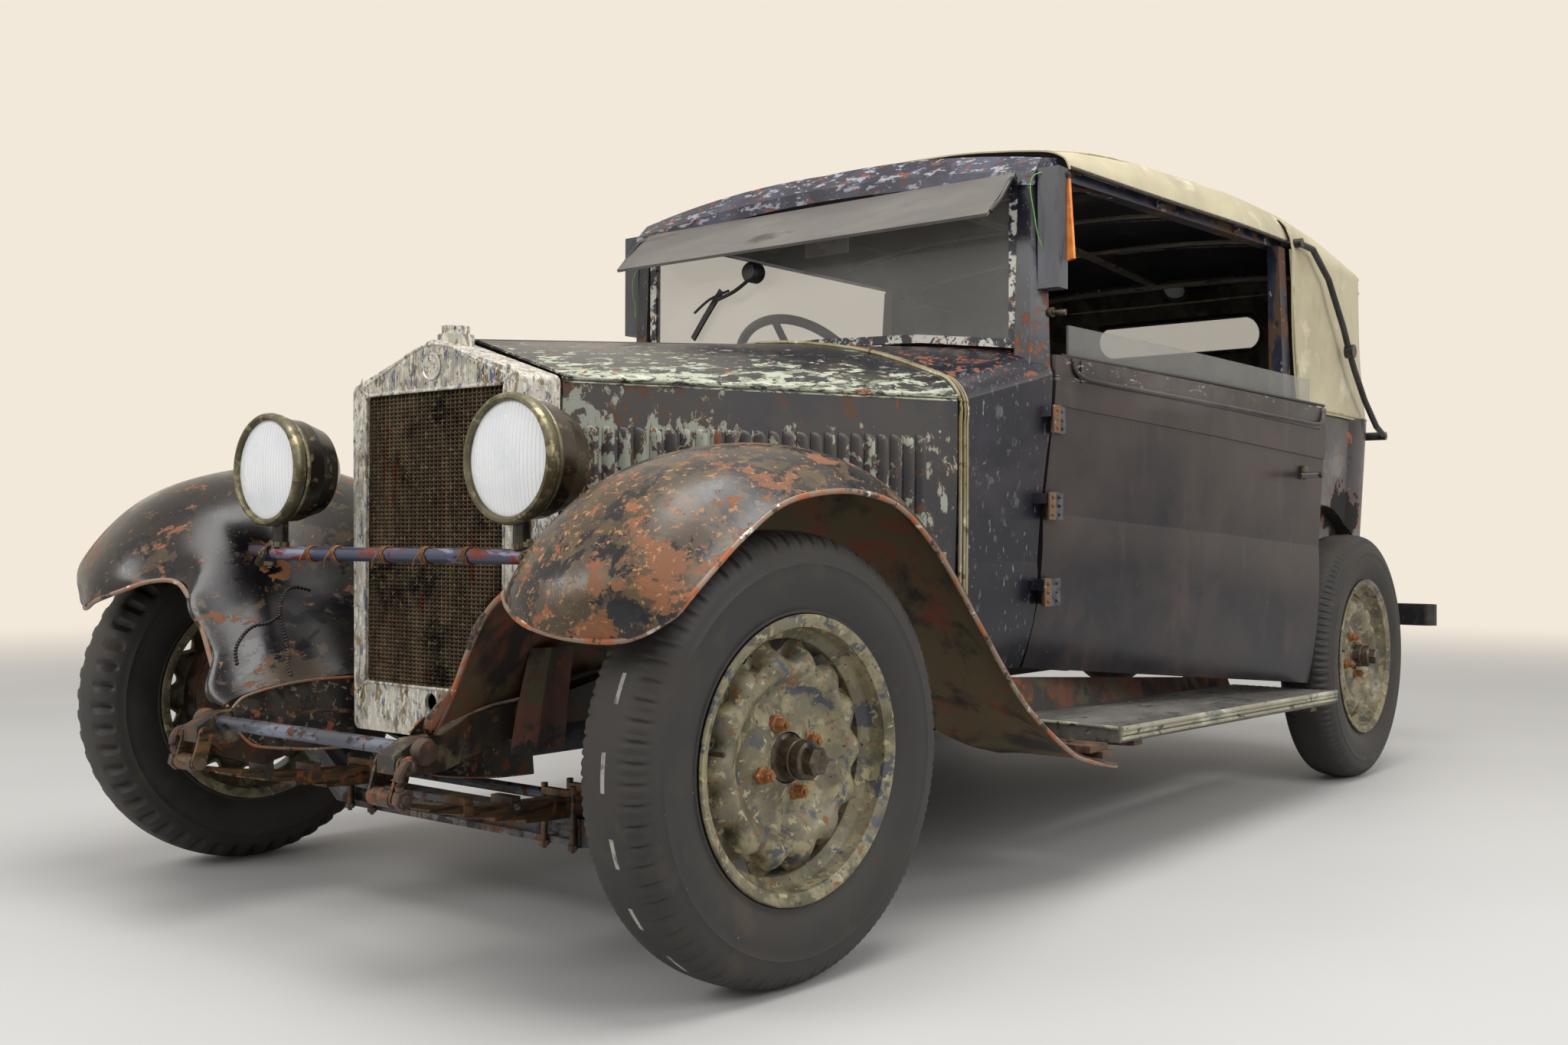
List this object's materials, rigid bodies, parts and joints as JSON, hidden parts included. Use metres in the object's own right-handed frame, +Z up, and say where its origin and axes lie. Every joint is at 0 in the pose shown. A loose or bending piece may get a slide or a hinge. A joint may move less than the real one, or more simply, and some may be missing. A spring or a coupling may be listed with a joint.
{
  "type": "vintage four-seat cabriolet car",
  "caption": "Open-topped vintage cabriolet with crowned front fenders, flat radiator, drum headlamps, running boards, two front-hinged doors and a raised canvas top.",
  "frame": {"origin": "on the floor under the middle of the whole car", "axes": "+X towards the radiator, +Y to the car's left, +Z up"},
  "size_m": [3.862, 1.7028, 1.6177],
  "materials": {
    "board_cover": "worn",
    "canvas": "worn",
    "chassis": "rusty",
    "core_metal": "dull",
    "engine_iron": "oily",
    "fender_paint": "worn, rusty",
    "lamp_paint": "worn",
    "leather": "worn",
    "lens_glass": "clear",
    "rusty_steel": "rusty",
    "shell_paint": "flaked",
    "trim_black": "worn",
    "tyre_rubber": "worn",
    "wheel_paint": "flaked",
    "window_glass": "dusty",
    "wood": "bare",
    "worn_paint": "worn satin"
  },
  "bodies": {
    "car": {"bonnet_hinge": "worn_paint", "canvas_curtain": "canvas", "canvas_roof": "canvas", "dashboard": "wood", "engine": "engine_iron", "exhaust": "chassis", "floor": "wood", "floor_levers": "worn_paint", "frame_crossmembers": "chassis", "frame_rails": "chassis", "front_axle": "rusty_steel", "front_fenders": "fender_paint", "headlamp_glasses": "lens_glass", "headlamps": "lamp_paint", "lamp_bar": "lamp_paint", "landau_irons": "trim_black", "leaf_springs": "rusty_steel", "radiator_core": "core_metal", "radiator_shell": "shell_paint", "rear_axle": "rusty_steel", "rear_body": "worn_paint", "rear_bumper": "chassis", "roof_header": "worn_paint", "running_board_brackets": "chassis", "running_boards": "board_cover", "scuttle": "worn_paint", "seats": "leather", "splash_aprons": "chassis", "steering_column": "chassis", "sun_visor": "worn_paint", "top_frame": "wood", "trafficators": "trim_black", "windscreen_frame": "worn_paint", "windscreen_glass": "window_glass"},
    "wheel_front_left": {"wheel_front_left": "wheel_paint", "tyre_front_left": "tyre_rubber"},
    "wheel_front_right": {"wheel_front_right": "wheel_paint", "tyre_front_right": "tyre_rubber"},
    "wheel_rear_left": {"wheel_rear_left": "wheel_paint", "tyre_rear_left": "tyre_rubber"},
    "wheel_rear_right": {"wheel_rear_right": "wheel_paint", "tyre_rear_right": "tyre_rubber"},
    "knuckle_left": {"knuckle_left": "rusty_steel"},
    "knuckle_right": {"knuckle_right": "rusty_steel"},
    "track_rod": {"track_rod": "rusty_steel"},
    "steering_wheel": {"steering_wheel": "trim_black"},
    "door_left": {"door_left": "worn_paint", "door_glass_left": "window_glass"},
    "door_right": {"door_right": "worn_paint", "door_glass_right": "window_glass"},
    "bonnet_top_left": {"bonnet_top_left": "worn_paint"},
    "bonnet_top_right": {"bonnet_top_right": "worn_paint"},
    "bonnet_side_left": {"bonnet_side_left": "worn_paint"},
    "bonnet_side_right": {"bonnet_side_right": "worn_paint"}
  },
  "joints": [
    {"name": "steer_left", "type": "hinge", "parent": "car", "child": "knuckle_left", "pos_m": [1.524, 0.656, 0.352], "axis": [0, 0, 1], "range_deg": [-26, 34]},
    {"name": "spin_front_left", "type": "hinge", "parent": "knuckle_left", "child": "wheel_front_left", "pos_m": [1.5299, 0.7448, 0.352], "axis": [0.0663, 0.9978, 0], "continuous": true},
    {"name": "spin_rear_left", "type": "hinge", "parent": "car", "child": "wheel_rear_left", "pos_m": [-1.118, 0.745, 0.352], "axis": [0, 1, 0], "continuous": true},
    {"name": "steer_right", "type": "hinge", "parent": "car", "child": "knuckle_right", "pos_m": [1.524, -0.656, 0.352], "axis": [0, 0, 1], "range_deg": [-26, 34]},
    {"name": "spin_front_right", "type": "hinge", "parent": "knuckle_right", "child": "wheel_front_right", "pos_m": [1.5181, -0.7448, 0.352], "axis": [0.0663, 0.9978, 0], "continuous": true},
    {"name": "spin_rear_right", "type": "hinge", "parent": "car", "child": "wheel_rear_right", "pos_m": [-1.118, -0.745, 0.352], "axis": [0, 1, 0], "continuous": true},
    {"name": "track_rod_pin", "type": "hinge", "parent": "knuckle_left", "child": "track_rod", "pos_m": [1.37433, 0.66594, 0.198], "axis": [0, 0, 1], "range_deg": [-34, 26]},
    {"name": "steering_wheel_turn", "type": "hinge", "parent": "car", "child": "steering_wheel", "pos_m": [0.08, -0.33, 1.123], "axis": [-0.766, 0, 0.6428], "range_deg": [-312, 408]},
    {"name": "door_left_hinge", "type": "hinge", "parent": "car", "child": "door_left", "pos_m": [0.434, 0.618, 0.575], "axis": [0, -0.0586, -0.9983], "range_deg": [-6, 60]},
    {"name": "door_right_hinge", "type": "hinge", "parent": "car", "child": "door_right", "pos_m": [0.434, -0.618, 0.575], "axis": [0, -0.0586, 0.9983], "range_deg": [0, 66]},
    {"name": "bonnet_left_lift", "type": "hinge", "parent": "car", "child": "bonnet_top_left", "pos_m": [1.506, 0, 1.06], "axis": [0.996, 0, -0.0897], "range_deg": [0, 50]},
    {"name": "bonnet_side_left_hang", "type": "hinge", "parent": "bonnet_top_left", "child": "bonnet_side_left", "pos_m": [1.506, 0.237, 0.98], "axis": [0.9356, -0.3529, -0.0091], "range_deg": [-35, 0]},
    {"name": "bonnet_right_lift", "type": "hinge", "parent": "car", "child": "bonnet_top_right", "pos_m": [1.506, 0, 1.06], "axis": [-0.996, 0, 0.0897], "range_deg": [0, 50]},
    {"name": "bonnet_side_right_hang", "type": "hinge", "parent": "bonnet_top_right", "child": "bonnet_side_right", "pos_m": [1.506, -0.237, 0.98], "axis": [-0.9356, -0.3529, 0.0091], "range_deg": [-35, 0]}
  ],
  "couplings": [
    {"joint": "steer_right", "follows": "steer_left", "ratio": 1},
    {"joint": "track_rod_pin", "follows": "steer_left", "ratio": -1},
    {"joint": "steering_wheel_turn", "follows": "steer_left", "ratio": 12},
    {"joint": "bonnet_side_left_hang", "follows": "bonnet_left_lift", "ratio": -0.7},
    {"joint": "bonnet_side_right_hang", "follows": "bonnet_right_lift", "ratio": -0.7}
  ]
}
